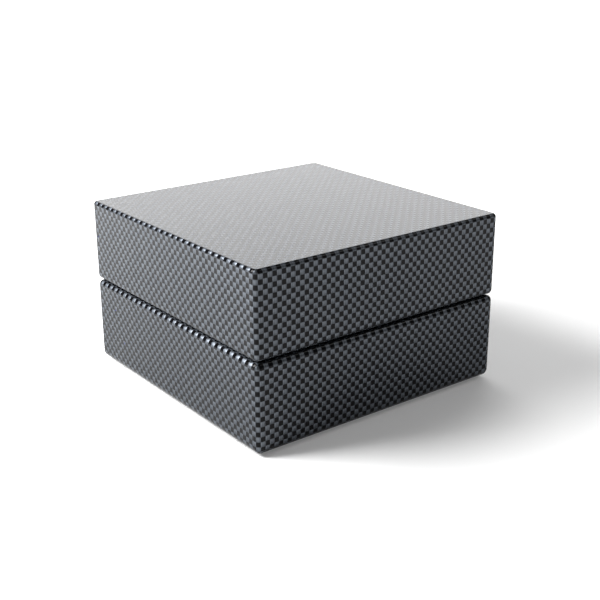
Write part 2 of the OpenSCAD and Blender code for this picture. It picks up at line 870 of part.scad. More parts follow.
module rotor_shaft() {
    color("silver") tilted() difference() {
        rod(shaft_r, shaft_end, cup_floor - 1.1);
        difference() {
            rod(shaft_r + over, clip_z - 0.05, clip_z + clip_t + 0.05);
            rod(shaft_r - 0.6, clip_z - over, clip_z + over);
        }
    }
}

module retaining_clip() {
    color("silver") tilted() difference() {
        rod(5.2, clip_z, clip_z + clip_t);
        rod(shaft_r - 0.55, clip_z - over, clip_z + over);
        block([-1.9, 0, clip_z - over], [1.9, 7, clip_z + over]);
    }
}

module rotor_screws() {
    color("silver") tilted() at_rotor_screws() translate([0, 0, gear_top - gear_h + 1.8]) mirror([0, 0, 1])
        screw(screw_r, 6.6, head_r, head_h);
}

// Outline of the pillow across its width, in the rotor's (y, z) plane
module pillow_outline(w, z0, z1, r) {
    polygon([[-w + r, z0], [w - r, z0], [w, z0 + r], [w, z1 - r], [w - r, z1], [-w + r, z1],
        [-w, z1 - r], [-w, z0 + r]]);
    for (y = [-w + r, w - r], z = [z0 + r, z1 - r]) translate([y, z]) circle(r = r);
}

module pillow_core() {
    color([0.1, 0.1, 0.105]) tilted() along_x(-pillow_w - 1, pillow_w + 1) pillow_outline(13, 15, 34, 7);
}

module pillow_cushion() {
    low = cup_floor + cup_lining_t + 0.2;
    color([0.06, 0.06, 0.065]) tilted() difference() {
        along_x(-pillow_w, pillow_w) pillow_outline(25, low, 44, 12);
        along_x(-pillow_w - over, pillow_w + over) pillow_outline(13.1, 14.9, 34.1, 7.1);
    }
}

// ---- Node switch ----

base_shell();
floor_panel();
corner_blocks();
floor_screws();
feet();
base_lining();
rim_bumpers();
base_magnets();
deck_panel();
deck_cheeks();
deck_front_rail();
deck_rear_board();
deck_bezel();
chassis();
chassis_screws();
bearing_housing();
bearing_bushes();
motor_can();
motor_plate();
motor_terminal();
motor_screws();
control_board();
board_standoffs();
board_parts();
rotary_switch();
slide_switch();
button_switch();
status_led();
control_plate();
dc_jack();
jack_nut();
internal_leads();
base_hinge_left();
base_hinge_right();
base_hinge_screws();
hinge_pin_left();
hinge_pin_right();
lid_shell();
lid_lining();
lid_pad();
lid_magnets();
lid_hinge_left();
lid_hinge_right();
lid_hinge_screws();
rotor_cup();
cup_rim();
cup_lining();
rotor_shaft();
rotor_gear();
retaining_clip();
rotor_screws();
pillow_core();
pillow_cushion();
motor_shaft();
drive_pinion();
mode_knob();
knob_pointer();
knob_shaft();
direction_slider();
power_button();
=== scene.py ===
import json
import math

import bmesh
import bpy
from mathutils import Matrix, Vector


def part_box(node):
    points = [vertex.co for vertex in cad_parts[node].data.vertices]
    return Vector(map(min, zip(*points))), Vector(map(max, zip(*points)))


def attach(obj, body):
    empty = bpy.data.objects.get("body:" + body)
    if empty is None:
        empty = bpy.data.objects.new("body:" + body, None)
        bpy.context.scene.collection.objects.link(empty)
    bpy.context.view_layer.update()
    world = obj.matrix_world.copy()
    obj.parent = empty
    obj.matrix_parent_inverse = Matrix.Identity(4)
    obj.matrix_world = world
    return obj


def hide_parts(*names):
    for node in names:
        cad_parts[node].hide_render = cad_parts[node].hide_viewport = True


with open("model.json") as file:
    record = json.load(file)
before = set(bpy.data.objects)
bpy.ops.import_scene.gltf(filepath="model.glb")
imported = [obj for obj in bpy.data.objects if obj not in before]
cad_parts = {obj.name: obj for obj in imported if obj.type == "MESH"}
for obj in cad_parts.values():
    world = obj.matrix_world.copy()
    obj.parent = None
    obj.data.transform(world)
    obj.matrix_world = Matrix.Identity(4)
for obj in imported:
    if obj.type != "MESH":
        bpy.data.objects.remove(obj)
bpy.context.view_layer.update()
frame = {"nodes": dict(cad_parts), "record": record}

# ---- Sizes, in metres ----

NODES = frame["nodes"]
SLOT_OF = {part["node"]: part["material_slot"] for part in frame["record"]["subparts"]}

BASE_LOW, BASE_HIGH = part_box("base_shell")
LID_LOW, LID_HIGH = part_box("lid_shell")
HALF = LID_HIGH.x
SHELL_HEIGHT = LID_HIGH.z - BASE_LOW.z

# The check weave: size, tones, soft border and relief of its cells, and the round edge at the lid's
# top that it folds over
CELL = 0.003
LIGHT_CELL = (0.096, 0.106, 0.121)
DARK_CELL = (0.003, 0.003, 0.0035)
CELL_BORDER = 0.16
CELL_RELIEF = 0.00014
TOP_ROUND = 0.0024
FOLD = TOP_ROUND * (1 - math.cos(math.pi / 4))

# The tilted frame of the rotor and the sloped deck: s runs up the slope and t along the rotor's axis
TILT = math.radians(20)
ROTOR_Y = 0.002
ROTOR_Z = 0.029
PLATE_TOP = 0.0232
STRIP_S = -0.064
KNOB_X = -0.040
KNOB_RADIUS = 0.007
SLIDER_X = -0.014
LED_X = 0.014
BUTTON_X = 0.040

# Watch pillow: half its length, the outline of its ends along s and t with its round corners and edges,
# the outline of its core hole, points in a ring, and how far the filling may push it
PILLOW_END = 0.0224
PILLOW_HALF = 0.0240
PILLOW_LOW = 0.0052
PILLOW_HIGH = 0.0430
PILLOW_CORNER = 0.0115
PILLOW_EDGE = 0.0045
CORE_HALF = 0.0131
CORE_LOW = 0.0149
CORE_HIGH = 0.0341
CORE_CORNER = 0.0071
PILLOW_RING = 112
PILLOW_CAP = 0.0026
PILLOW_PRESSURE = 4.0
PILLOW_STIFFNESS = 9.0

# Room that the filled pillow keeps to, along x, s and t
PILLOW_ROOM = ((-0.0234, 0.0234), (-0.0252, 0.0252), (0.0047, 0.0446))

# Rings of the pillow that carry the piping and the stitches, counted from either end
PIPING_RING = 3
STITCH_RING = 8
PIPING_RADIUS = 0.0007

# Quilted pad of the lid: half its side, its heights at the ceiling, face, lowest point and seams,
# cells along a side, cells from seam to seam, and how far the filling may push it
PAD_HALF = 0.0788
PAD_CEILING = 0.0999
PAD_FACE = 0.0957
PAD_LOWEST = 0.0940
PAD_SEAM = 0.0974
PAD_CELLS = 96
PAD_QUILT = 16
PAD_CAP = 0.0022
PAD_PRESSURE = 4.0
PAD_STIFFNESS = 5.0

# Stitches: pitch, length and radius
PILLOW_STITCH = (0.0034, 0.0023, 0.00024)
PAD_STITCH = (0.0036, 0.0024, 0.00026)

# Frames that each filling runs for
CLOTH_FRAMES = 20

# Marks on the control plate: the knob's ticks, how far a mark stands above its control, the slider's
# travel each way, and the ring of dots round the button
TICK_REACH = KNOB_RADIUS + 0.0016
TICK_SIZE = (0.0004, 0.0013)
MARK_RISE = 0.0052
SLIDER_TRAVEL = 0.003
BUTTON_RING = 0.0070
BUTTON_DOTS = 12

# Camera: the box seen from its front left, a little from above
VIEW_AZIMUTH = math.radians(-37.2)
VIEW_ELEVATION = math.radians(20.02)
VIEW_ROLL = math.radians(-0.249)
VIEW_DISTANCE = 6.526 * SHELL_HEIGHT
AIM_RIGHT = 0.0549 * SHELL_HEIGHT
AIM_UP = 0.3955 * SHELL_HEIGHT
LENS = 63.8

# Floor: half its side, and its glow within the first distance of the box and past the second. The glow is
# painted light: it brightens the floor, most of all away from the box, where it lightens the box's cast
# shadow
FLOOR_HALF = 9.0
FLOOR_FADE = (0.20, 0.60)
FLOOR_GLOW = (0.14, 0.85)

# Sky: its glow at the horizon and above, and the heights of direction between which it changes
SKY_GLOW = (0.95, 0.12)
SKY_FADE = (0.02, 0.14)

# Glowing backdrop: where it stands, its turn, its span in height, and its glow from foot to head
BACKDROP_PLACE = (1.3, 1.75, 0.0)
BACKDROP_TURN = math.radians(-37)
BACKDROP_LOW = 0.35
BACKDROP_HIGH = 1.9
BACKDROP_FADE = 0.5
BACKDROP_WIDTH = 4.2
BACKDROP_GLOW = (2.1, 7.0)
BACKDROP_SIDES = (1.1, 0.9)


# ---- Node helpers ----


class Material:
    """A node material with a Principled shader, built a node at a time."""

    def __init__(self, name, **values):
        self.data = bpy.data.materials.new(name)
        self.data.use_nodes = True
        self.tree = self.data.node_tree
        self.shader = self.tree.nodes["Principled BSDF"]
        for key, value in values.items():
            self.set(key.replace("_", " ").title().replace("Ior", "IOR"), value)

    def set(self, socket, value):
        self.plug(self.shader.inputs[socket], value)

    def plug(self, socket, value):
        if isinstance(value, bpy.types.NodeSocket):
            self.tree.links.new(value, socket)
        elif isinstance(value, tuple) and len(value) == 3 and socket.type == "RGBA":
            socket.default_value = (*value, 1.0)
        else:
            socket.default_value = value

    def add(self, kind, *inputs, out=0, **settings):
        node = self.tree.nodes.new(kind)
        for key, value in settings.items():
            if key in node.bl_rna.properties:
                setattr(node, key, value)
            else:
                self.plug(node.inputs[key.replace("_", " ")], value)
        for socket, value in zip(node.inputs, inputs):
            if value is not None:
                self.plug(socket, value)
        return node.outputs[out]

    def math(self, operation, *inputs):
        return self.add("ShaderNodeMath", *inputs, operation=operation)

    def vector(self, operation, *inputs):
        return self.add("ShaderNodeVectorMath", *inputs, operation=operation)

    def split(self, vector):
        node = self.tree.nodes.new("ShaderNodeSeparateXYZ")
        self.plug(node.inputs[0], vector)
        return node.outputs

    def mix(self, factor, a, b):
        node = self.tree.nodes.new("ShaderNodeMix")
        node.data_type = "RGBA"
        self.plug(node.inputs["Factor"], factor)
        self.plug(node.inputs[6], a)
        self.plug(node.inputs[7], b)
        return node.outputs[2]

    def blend(self, factor, a, b):
        node = self.tree.nodes.new("ShaderNodeMix")
        node.data_type = "FLOAT"
        self.plug(node.inputs["Factor"], factor)
        self.plug(node.inputs[2], a)
        self.plug(node.inputs[3], b)
        return node.outputs[0]

    def range(self, value, low, high, to_low=0.0, to_high=1.0, smooth=True):
        kind = "SMOOTHSTEP" if smooth else "LINEAR"
        return self.add("ShaderNodeMapRange", value, low, high, to_low, to_high, interpolation_type=kind)

    def noise(self, scale, detail=2.0, rough=0.5, vector=None):
        vector = vector or self.object_coords()
        return self.add("ShaderNodeTexNoise", Vector=vector, Scale=scale, Detail=detail, Roughness=rough)

    def object_coords(self):
        return self.tree.nodes.new("ShaderNodeTexCoord").outputs["Object"]

    def object_normal(self):
        return self.tree.nodes.new("ShaderNodeTexCoord").outputs["Normal"]

    def bump(self, height, distance, strength=1.0):
        self.set("Normal", self.add("ShaderNodeBump", Height=height, Distance=distance, Strength=strength))


# ---- Wrap of the case ----


def check_wrap():
    """Glossy film with a check weave: light metallic cells and black cells under clear lacquer."""
    m = Material("check_wrap", coat_weight=1.0, coat_roughness=0.04, coat_ior=1.18,
                 specular_ior_level=0.0, specular_tint=(0.18, 0.18, 0.19))
    x, y, z = m.split(m.object_coords())
    nx, ny, nz = [m.math("ABSOLUTE", c) for c in m.split(m.object_normal())]
    edge = HALF - FOLD
    u = m.math("MULTIPLY_ADD", x, 1 / CELL, edge / CELL + 0.5)
    v = m.math("MULTIPLY_ADD", y, 1 / CELL, edge / CELL + 0.5)
    w = m.math("MULTIPLY_ADD", z, -1 / CELL, (LID_HIGH.z - FOLD) / CELL + 0.5)
    on_top = m.math("GREATER_THAN", nz, m.math("MAXIMUM", nx, ny))
    on_side = m.math("GREATER_THAN", nx, ny)
    across = m.blend(m.math("MULTIPLY", on_side, m.math("SUBTRACT", 1.0, on_top)), u, v)
    down = m.blend(on_top, w, v)
    # A smooth square wave from two sines keeps the cells' borders a little soft
    wave_a = m.math("SINE", m.math("MULTIPLY", across, math.pi))
    wave_b = m.math("SINE", m.math("MULTIPLY", down, math.pi))
    light = m.range(m.math("MULTIPLY", wave_a, wave_b), -CELL_BORDER, CELL_BORDER)
    # Threads run down the light cells and across the black ones
    inside_a = m.math("FRACT", across)
    inside_b = m.math("FRACT", down)
    streaks = m.math("SINE", m.math("MULTIPLY", inside_a, 4 * math.pi))
    fibres = m.noise(1.0, 2.0, 0.6, m.add("ShaderNodeCombineXYZ", m.math("MULTIPLY", across, 9.0),
                                          m.math("MULTIPLY", down, 1.2), on_side))
    tone = m.math("MULTIPLY_ADD", streaks, 0.16, m.math("MULTIPLY_ADD", fibres, 0.6, 0.70))
    # Painted light: each light cell is painted brighter at its top and darker towards its bottom (along y
    # on the lid's top), a painted highlight and shade of light from above on its crown
    shade = m.math("MULTIPLY", tone, m.range(inside_b, 0.25, 1.0, 1.10, 0.72))
    bright = m.vector("SCALE", LIGHT_CELL)
    m.plug(bright.node.inputs["Scale"], shade)
    m.set("Base Color", m.mix(light, DARK_CELL, bright))
    m.set("Metallic", light)
    m.set("Roughness", m.blend(light, 0.42, 0.46))
    crown = m.math("MAXIMUM", m.math("MULTIPLY", wave_a, wave_b), 0.0)
    m.bump(m.math("MULTIPLY_ADD", streaks, 0.08, crown), CELL_RELIEF, 1.0)
    return m.data


# ---- Finishes of the other parts ----


def speckled(name, light, dark, rough, scales, depth, stretch=(1.0, 1.0, 1.0), **values):
    """Two tones in soft patches and a fine grain, which also changes the gloss and the relief."""
    m = Material(name, **values)
    coords = m.vector("MULTIPLY", m.object_coords(), stretch)
    patches = m.noise(scales[0], 3.0, 0.6, coords)
    grain = m.noise(scales[1], 2.0, 0.6, coords)
    mixed = m.range(m.math("MULTIPLY_ADD", grain, 0.5, m.math("MULTIPLY", patches, 0.5)), 0.32, 0.68)
    m.set("Base Color", m.mix(mixed, dark, light))
    m.set("Roughness", m.blend(mixed, *rough))
    m.bump(grain, depth, 1.0)
    return m.data


def faux_leather():
    """Dark soft leather cloth with a pebbled grain of about a millimetre."""
    m = Material("cushion", specular_ior_level=0.45)
    coords = m.object_coords()
    bent = m.add("ShaderNodeTexNoise", Vector=coords, Scale=500.0, Detail=1.0, out=1)
    coords = m.vector("ADD", coords, m.vector("MULTIPLY", bent, (0.0009, 0.0009, 0.0009)))
    crease = m.add("ShaderNodeTexVoronoi", Vector=coords, Scale=950.0, feature="DISTANCE_TO_EDGE")
    pebble = m.range(crease, 0.0, 0.22)
    worn = m.noise(60.0, 3.0, 0.6)
    shade = m.mix(m.range(worn, 0.35, 0.7), (0.040, 0.040, 0.044), (0.062, 0.061, 0.064))
    # Painted shade: the creases between the pebbles are painted near black, for the shade that falls into
    # them
    m.set("Base Color", m.mix(pebble, (0.014, 0.014, 0.016), shade))
    m.set("Roughness", m.blend(pebble, 0.75, 0.46))
    m.bump(pebble, 0.00009, 0.9)
    return m.data


def circuit_board():
    """Green solder mask over right-angled copper tracks, with tinned pads."""
    m = Material("circuit_board", specular_ior_level=0.5)
    coords = m.object_coords()
    tracks = m.add("ShaderNodeTexVoronoi", Vector=coords, Scale=140.0, distance="CHEBYCHEV")
    lines = m.range(m.math("PINGPONG", m.math("MULTIPLY", tracks, 7.0), 1.0), 0.62, 0.8)
    pads = m.range(m.add("ShaderNodeTexVoronoi", Vector=coords, Scale=420.0), 0.2, 0.24, 1.0, 0.0)
    mask = m.mix(lines, (0.010, 0.085, 0.040), (0.020, 0.150, 0.065))
    m.set("Base Color", m.mix(pads, mask, (0.62, 0.60, 0.55)))
    m.set("Metallic", m.math("MULTIPLY", pads, 0.9))
    m.set("Roughness", m.blend(pads, 0.34, 0.26))
    m.bump(m.math("MAXIMUM", lines, pads), 0.00004, 0.8)
    return m.data


def zinc_sheet():
    """Zinc plate, whose crystals each have their own tone and gloss."""
    m = Material("zinc_sheet", metallic=1.0)
    cells = m.add("ShaderNodeTexVoronoi", Vector=m.object_coords(), Scale=210.0, out=1)
    crystal = m.split(cells)[0]
    grain = m.noise(1800.0, 2.0, 0.6)
    tone = m.math("MULTIPLY_ADD", grain, 0.25, m.math("MULTIPLY", crystal, 0.75))
    m.set("Base Color", m.mix(tone, (0.50, 0.515, 0.54), (0.68, 0.69, 0.70)))
    m.set("Roughness", m.blend(tone, 0.48, 0.28))
    m.bump(grain, 0.00001, 0.6)
    return m.data


def deck_coords(m):
    """The object's x and its place along the deck's slope, as two sockets."""
    x, y, z = m.split(m.object_coords())
    rise = m.math("MULTIPLY", m.math("SUBTRACT", z, ROTOR_Z), math.sin(TILT))
    run = m.math("MULTIPLY", m.math("SUBTRACT", y, ROTOR_Y), math.cos(TILT))
    return x, m.math("ADD", run, rise)


def brushed_plate():
    """Anodised plate, brushed along the front of the deck."""
    m = Material("control_metal", metallic=1.0)
    x, slope = deck_coords(m)
    lines = m.add("ShaderNodeCombineXYZ", m.math("MULTIPLY", x, 30.0),
                  m.math("MULTIPLY", slope, 5200.0), 0.0)
    brush = m.noise(1.0, 3.0, 0.7, lines)
    smudge = m.noise(70.0, 2.0, 0.5)
    m.set("Base Color", m.mix(brush, (0.33, 0.335, 0.35), (0.56, 0.565, 0.58)))
    m.set("Roughness", m.math("MULTIPLY_ADD", smudge, 0.16, m.blend(brush, 0.20, 0.32)))
    m.bump(brush, 0.000012, 0.8)
    return m.data


def turned_metal(name, centre_x, radius, ridges):
    """Anodised knob: rings turned on its face, and a knurl round its side."""
    m = Material(name, metallic=1.0)
    x, slope = deck_coords(m)
    dx = m.math("SUBTRACT", x, centre_x)
    ds = m.math("SUBTRACT", slope, STRIP_S)
    reach = m.math("SQRT", m.math("ADD", m.math("MULTIPLY", dx, dx), m.math("MULTIPLY", ds, ds)))
    turned = m.add("ShaderNodeCombineXYZ", m.math("MULTIPLY", reach, 6000.0), 0.0, 0.0)
    rings = m.noise(1.0, 2.0, 0.7, turned)
    knurl = m.math("SINE", m.math("MULTIPLY", m.math("ARCTAN2", dx, ds), float(ridges)))
    side = m.range(reach, radius * 0.965, radius * 0.99)
    groove = m.range(knurl, -0.5, 0.3)
    m.set("Base Color", m.mix(rings, (0.36, 0.365, 0.38), (0.55, 0.555, 0.57)))
    m.set("Roughness", m.blend(rings, 0.22, 0.34))
    relief = m.math("MULTIPLY_ADD", m.math("MULTIPLY", side, groove), 1.0,
                    m.math("MULTIPLY", rings, 0.04))
    m.bump(relief, 0.00025, 1.0)
    return m.data


def finishes():
    """A material for every slot of the record, by its name."""
    made = {"cushion": faux_leather(), "circuit_board": circuit_board(), "zinc_sheet": zinc_sheet(),
            "control_metal": brushed_plate()}
    made["suede"] = speckled(
        "suede", (0.046, 0.046, 0.051), (0.021, 0.021, 0.024), (0.97, 0.86), (55.0, 2600.0), 0.00016,
        sheen_weight=0.35, sheen_roughness=0.45, specular_ior_level=0.2)
    made["board"] = speckled(
        "board", (0.085, 0.085, 0.090), (0.045, 0.045, 0.050), (0.95, 0.85), (90.0, 2200.0), 0.00012,
        sheen_weight=0.15)
    made["block_wood"] = speckled(
        "block_wood", (0.66, 0.50, 0.31), (0.42, 0.28, 0.15), (0.62, 0.74), (14.0, 120.0), 0.00008,
        stretch=(14.0, 14.0, 1.5))
    made["soft_rubber"] = speckled(
        "soft_rubber", (0.046, 0.046, 0.048), (0.026, 0.026, 0.027), (0.72, 0.9), (160.0, 3000.0), 0.00004)
    made["bright_metal"] = speckled(
        "bright_metal", (0.60, 0.61, 0.63), (0.56, 0.57, 0.59), (0.17, 0.23), (110.0, 900.0), 0.0000008,
        metallic=1.0)
    made["steel"] = speckled(
        "steel", (0.66, 0.66, 0.68), (0.52, 0.52, 0.54), (0.24, 0.38), (260.0, 4200.0), 0.000012,
        metallic=1.0)
    made["bronze"] = speckled(
        "bronze", (0.66, 0.46, 0.22), (0.44, 0.29, 0.12), (0.36, 0.52), (300.0, 5200.0), 0.00003,
        metallic=1.0)
    made["brass"] = speckled(
        "brass", (0.80, 0.64, 0.33), (0.66, 0.50, 0.22), (0.20, 0.34), (300.0, 3600.0), 0.000012,
        metallic=1.0)
    made["gear_plastic"] = speckled(
        "gear_plastic", (0.87, 0.86, 0.81), (0.79, 0.77, 0.71), (0.36, 0.48), (120.0, 2600.0), 0.000012,
        subsurface_weight=0.12, subsurface_scale=0.002)
    made["cup_plastic"] = speckled(
        "cup_plastic", (0.030, 0.030, 0.033), (0.018, 0.018, 0.020), (0.09, 0.15), (45.0, 500.0), 0.000006,
        coat_weight=0.6, coat_roughness=0.05)
    made["black_plastic"] = speckled(
        "black_plastic", (0.052, 0.052, 0.055), (0.033, 0.033, 0.035), (0.44, 0.60), (200.0, 2400.0),
        0.00004)
    made["pointer_white"] = speckled(
        "pointer_white", (0.86, 0.86, 0.85), (0.76, 0.76, 0.75), (0.40, 0.52), (400.0, 3000.0), 0.000008)
    made["led_lens"] = speckled(
        "led_lens", (0.74, 0.85, 0.96), (0.62, 0.76, 0.90), (0.22, 0.34), (500.0, 3000.0), 0.00001,
        transmission_weight=0.35, emission_color=(0.45, 0.70, 1.0), emission_strength=0.5)
    return made


# ---- Pieces from CAD nodes ----


def crisp(node, material, bevel=0.0):
    """A CAD node with a finished material, and edges broken by modifiers alone."""
    shown = NODES[node]
    shown.data.materials.clear()
    shown.data.materials.append(material)
    if bevel:
        weld = shown.modifiers.new("Weld", "WELD")
        weld.merge_threshold = 1e-6
        round_over = shown.modifiers.new("Broken edges", "BEVEL")
        round_over.width = bevel
        round_over.segments = 2
        round_over.limit_method = "ANGLE"
        round_over.angle_limit = math.radians(38)
        shown.modifiers.new("Even normals", "WEIGHTED_NORMAL")


def smooth_piece(node, name, body, material, angle=28):
    """A piece with a CAD node's exact shape, welded and shaded smoothly over its small roundings."""
    mesh = NODES[node].data.copy()
    mesh.name = name
    work = bmesh.new()
    work.from_mesh(mesh)
    bmesh.ops.remove_doubles(work, verts=work.verts, dist=1e-6)
    work.to_mesh(mesh)
    work.free()
    if "custom_normal" in mesh.attributes:
        mesh.attributes.remove(mesh.attributes["custom_normal"])
    mesh.shade_smooth()
    mesh.set_sharp_from_angle(angle=math.radians(angle))
    piece = bpy.data.objects.new(name, mesh)
    bpy.context.scene.collection.objects.link(piece)
    mesh.materials.clear()
    mesh.materials.append(material)
    normals = piece.modifiers.new("Even normals", "WEIGHTED_NORMAL")
    normals.keep_sharp = True
    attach(piece, body)
    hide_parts(node)
    return piece


def new_piece(name, verts, faces, material, body):
    mesh = bpy.data.meshes.new(name)
    mesh.from_pydata([tuple(v) for v in verts], [], faces)
    mesh.shade_smooth()
    mesh.materials.append(material)
    piece = bpy.data.objects.new(name, mesh)
    bpy.context.scene.collection.objects.link(piece)
    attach(piece, body)
    return piece


def tilted(x, s, t):
    """A point of the tilted frame, in the row frame."""
    y = ROTOR_Y + s * math.cos(TILT) - t * math.sin(TILT)
    z = ROTOR_Z + s * math.sin(TILT) + t * math.cos(TILT)
    return Vector((x, y, z))


# ---- Soft goods ----


def rounded_outline(half, low, high, radius, count):
    """Evenly spaced points round a rectangle with round corners."""
    middles = [(half - radius, high - radius), (radius - half, high - radius),
               (radius - half, low + radius), (half - radius, low + radius)]
    path = []
    for quarter, (across, up) in enumerate(middles):
        for step in range(13):
            a = math.radians(90 * quarter + 90 * step / 12)
            path.append(Vector((across + radius * math.cos(a), up + radius * math.sin(a))))
    return resampled(path, count)


def resampled(path, count):
    """Points at even distances along a closed line."""
    closed = path + [path[0]]
    lengths = [(b - a).length for a, b in zip(closed, closed[1:])]
    total = sum(lengths)
    points = []
    walked = 0.0
    at = 0
    for k in range(count):
        wanted = total * k / count
        while walked + lengths[at] < wanted:
            walked += lengths[at]
            at += 1
        points.append(closed[at].lerp(closed[at + 1], (wanted - walked) / lengths[at]))
    return points


def inflate(piece, pinned, pressure, cap, stiffness):
    """Fills a cushion by Blender's cloth simulation, with the pinned points held where they're sewn."""
    group = piece.vertex_groups.new(name="sewn")
    group.add(pinned, 1.0, "REPLACE")
    cloth = piece.modifiers.new("Cloth", "CLOTH")
    cloth.settings.quality = 6
    cloth.settings.mass = 0.3
    cloth.settings.tension_stiffness = stiffness
    cloth.settings.compression_stiffness = stiffness
    cloth.settings.shear_stiffness = stiffness
    cloth.settings.bending_stiffness = 0.4
    cloth.settings.vertex_group_mass = "sewn"
    cloth.settings.use_pressure = True
    cloth.settings.uniform_pressure_force = pressure
    cloth.settings.effector_weights.gravity = 0.0
    cloth.collision_settings.use_self_collision = False
    cloth.point_cache.frame_start = 1
    cloth.point_cache.frame_end = CLOTH_FRAMES
    scene = bpy.context.scene
    for frame_number in range(1, CLOTH_FRAMES + 1):
        scene.frame_set(frame_number)
    filled = piece.evaluated_get(bpy.context.evaluated_depsgraph_get())
    moved = [v.co.copy() for v in filled.data.vertices]
    piece.modifiers.remove(cloth)
    scene.frame_set(1)
    for vert, goal in zip(piece.data.vertices, moved):
        step = goal - vert.co
        if step.length > cap:
            step = step * (cap / step.length)
        vert.co = vert.co + step


def soften(piece):
    """One level of subdivision, which rounds off the cloth's facets."""
    surface = piece.modifiers.new("Smooth cloth", "SUBSURF")
    surface.levels = 1
    surface.render_levels = 1


def pillow_rows():
    """The pillow's rings: one end, the outside, the other end and back through the core hole."""
    outside = []
    for step in range(7):
        a = math.radians(90 * step / 6)
        inset = PILLOW_EDGE * (1 - math.sin(a))
        outside.append((-PILLOW_END + PILLOW_EDGE * (1 - math.cos(a)), inset))
    first = outside[-1][0]
    outside += [(first + (-2 * first) * k / 18, 0.0) for k in range(1, 18)]
    outside += [(-x, inset) for x, inset in reversed(outside[:7])]
    rows = []
    for x, inset in outside:
        ring = rounded_outline(PILLOW_HALF - inset, PILLOW_LOW + inset, PILLOW_HIGH - inset,
                               PILLOW_CORNER - 0.6 * inset, PILLOW_RING)
        rows.append([(x, p.x, p.y) for p in ring])
    rim = rows[-1]
    core = rounded_outline(CORE_HALF, CORE_LOW, CORE_HIGH, CORE_CORNER, PILLOW_RING)
    hole = []
    for share in (0.33, 0.66, 1.0):
        hole.append([(PILLOW_END, p[1] + (c.x - p[1]) * share, p[2] + (c.y - p[2]) * share)
                     for p, c in zip(rim, core)])
    inner = [[(PILLOW_END * (1 - share / 2), c.x, c.y) for c in core] for share in (1, 2, 3)]
    back = [[(-x, s, t) for x, s, t in ring] for ring in reversed(hole)]
    return rows, hole + inner, back


def watch_pillow(finish, thread):
    """The padded pillow that the watch is strapped round, with its piping and stitches."""
    rows, hole, back = pillow_rows()
    everything = rows + hole + back
    count = PILLOW_RING
    verts = [p for ring in everything for p in ring]
    faces = []
    for r in range(len(everything)):
        after = (r + 1) % len(everything)
        for k in range(count):
            n = (k + 1) % count
            faces.append((r * count + k, after * count + k, after * count + n, r * count + n))
    pillow = new_piece("watch_pillow", verts, faces, finish, "rotor")
    low = len(rows) + 1
    high = len(everything) - 2
    inflate(pillow, list(range(low * count, high * count)), PILLOW_PRESSURE, PILLOW_CAP, PILLOW_STIFFNESS)
    for vert in pillow.data.vertices:
        kept = [max(low, min(high, place)) for place, (low, high) in zip(vert.co, PILLOW_ROOM)]
        vert.co = tilted(*kept)
    places = [v.co.copy() for v in pillow.data.vertices]
    soften(pillow)
    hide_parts("pillow_cushion")
    middle = tilted(0, 0, (PILLOW_LOW + PILLOW_HIGH) / 2)
    sewing = bmesh.new()
    piping = bmesh.new()
    last = len(rows) - 1
    for near, beside in ((PIPING_RING, STITCH_RING), (last - PIPING_RING, last - STITCH_RING)):
        edge = places[near * count:(near + 1) * count]
        add_tube(piping, edge, PIPING_RADIUS, middle)
        row = places[beside * count:(beside + 1) * count]
        add_stitches(sewing, row + [row[0]], *PILLOW_STITCH)
    finish_soft_detail("pillow_piping", piping, finish, "rotor")
    finish_soft_detail("pillow_stitches", sewing, thread, "rotor")


def finish_soft_detail(name, work, material, body):
    """An object from a bmesh, sewn to a padded piece."""
    mesh = bpy.data.meshes.new(name)
    work.to_mesh(mesh)
    work.free()
    mesh.shade_smooth()
    mesh.materials.append(material)
    piece = bpy.data.objects.new(name, mesh)
    bpy.context.scene.collection.objects.link(piece)
    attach(piece, body)


def add_tube(work, line, radius, middle, sides=8):
    """A closed round tube along a line of points."""
    count = len(line)
    rings = []
    for k in range(count):
        along = (line[(k + 1) % count] - line[k - 1]).normalized()
        out = line[k] - middle
        out = (out - along * out.dot(along)).normalized()
        side = along.cross(out)
        ring = []
        for i in range(sides):
            a = 2 * math.pi * i / sides
            ring.append(work.verts.new(line[k] + radius * (math.cos(a) * out + math.sin(a) * side)))
        rings.append(ring)
    for k in range(count):
        a, b = rings[k], rings[(k + 1) % count]
        for i in range(sides):
            n = (i + 1) % sides
            work.faces.new((a[i], a[n], b[n], b[i]))


def add_stitches(work, line, pitch, length, radius, sides=5):
    """Short rounded stitches at even distances along an open line."""
    walked = 0.0
    wanted = pitch / 2
    for a, b in zip(line, line[1:]):
        span = (b - a).length
        if span < 1e-7:
            continue
        along = (b - a) / span
        while walked + span >= wanted:
            middle = a + along * (wanted - walked)
            add_stitch(work, middle, along, length, radius, sides)
            wanted += pitch
        walked += span


def add_stitch(work, middle, along, length, radius, sides):
    """One stitch: a short round bar with drawn-in ends."""
    side = along.orthogonal().normalized()
    up = along.cross(side)
    rings = []
    for place, size in ((-0.5, 0.35), (-0.3, 1.0), (0.3, 1.0), (0.5, 0.35)):
        ring = []
        for i in range(sides):
            a = 2 * math.pi * i / sides
            around = math.cos(a) * side + math.sin(a) * up
            ring.append(work.verts.new(middle + along * (place * length) + around * (radius * size)))
        rings.append(ring)
    for a, b in zip(rings, rings[1:]):
        for i in range(sides):
            n = (i + 1) % sides
            work.faces.new((a[i], a[n], b[n], b[i]))
    work.faces.new(list(reversed(rings[0])))
    work.faces.new(rings[-1])


def on_seam(i, j):
    """Whether a corner of the pad's cells lies on one of the quilting's diagonal seams."""
    return (i + j) % PAD_QUILT == 0 or (i - j) % PAD_QUILT == 0


